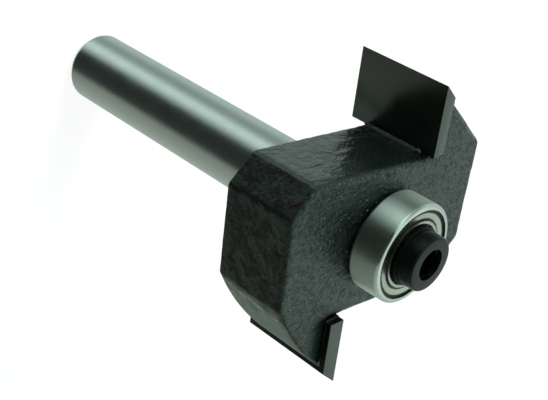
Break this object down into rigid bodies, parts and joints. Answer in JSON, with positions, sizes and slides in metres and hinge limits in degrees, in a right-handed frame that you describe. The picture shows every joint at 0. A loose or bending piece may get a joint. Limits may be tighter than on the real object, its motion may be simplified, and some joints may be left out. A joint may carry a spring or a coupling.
{
  "type": "router bit",
  "caption": "Rebate router bit: a straight shank, a wide black head carrying brazed carbide cutting tips, and a ball bearing held on its nose by a socket screw to guide the cut.",
  "frame": {"origin": "centre of the shank's end face, which is the bottom of the bit when it stands on its shank", "axes": "+Z runs along the bit's axis from the shank's end to the screw on the nose; tooth 1 reaches out along +X and its cutting face looks along +Y"},
  "size_m": [0.0362, 0.033, 0.062],
  "materials": {
    "body_steel": "black coated cast head with ground bare steel shank",
    "carbide": "ground sintered carbide",
    "braze": "silver braze, as flowed",
    "bearing_steel": "ground and polished bearing steel",
    "shield_steel": "pressed bright steel",
    "cage_steel": "pressed steel ribbon",
    "ball_steel": "polished bearing balls",
    "washer_black": "black oxide",
    "screw_black": "black oxide, worn on the edges"
  },
  "bodies": {
    "bit": {"bit_body": "body_steel", "carbide_tip_1": "carbide", "carbide_tip_2": "carbide", "braze_joint_1": "braze", "braze_joint_2": "braze", "bearing_inner_ring": "bearing_steel", "bearing_washer": "washer_black", "cap_screw": "screw_black"},
    "outer_race": {"bearing_outer_ring": "bearing_steel", "bearing_shield_front": "shield_steel", "bearing_shield_rear": "shield_steel"},
    "ball_set": {"bearing_ball_1": "ball_steel", "bearing_ball_2": "ball_steel", "bearing_ball_3": "ball_steel", "bearing_ball_4": "ball_steel", "bearing_ball_5": "ball_steel", "bearing_ball_6": "ball_steel", "bearing_ball_7": "ball_steel", "bearing_cage_front": "cage_steel", "bearing_cage_rear": "cage_steel"}
  },
  "joints": [
    {"name": "guide_bearing_spin", "type": "hinge", "parent": "bit", "child": "outer_race", "pos_m": [0, 0, 0.05738], "axis": [0, 0, 1], "continuous": true},
    {"name": "ball_set_spin", "type": "hinge", "parent": "bit", "child": "ball_set", "pos_m": [0, 0, 0.05738], "axis": [0, 0, 1], "continuous": true}
  ],
  "couplings": [
    {"joint": "ball_set_spin", "follows": "guide_bearing_spin", "ratio": 0.6389}
  ]
}
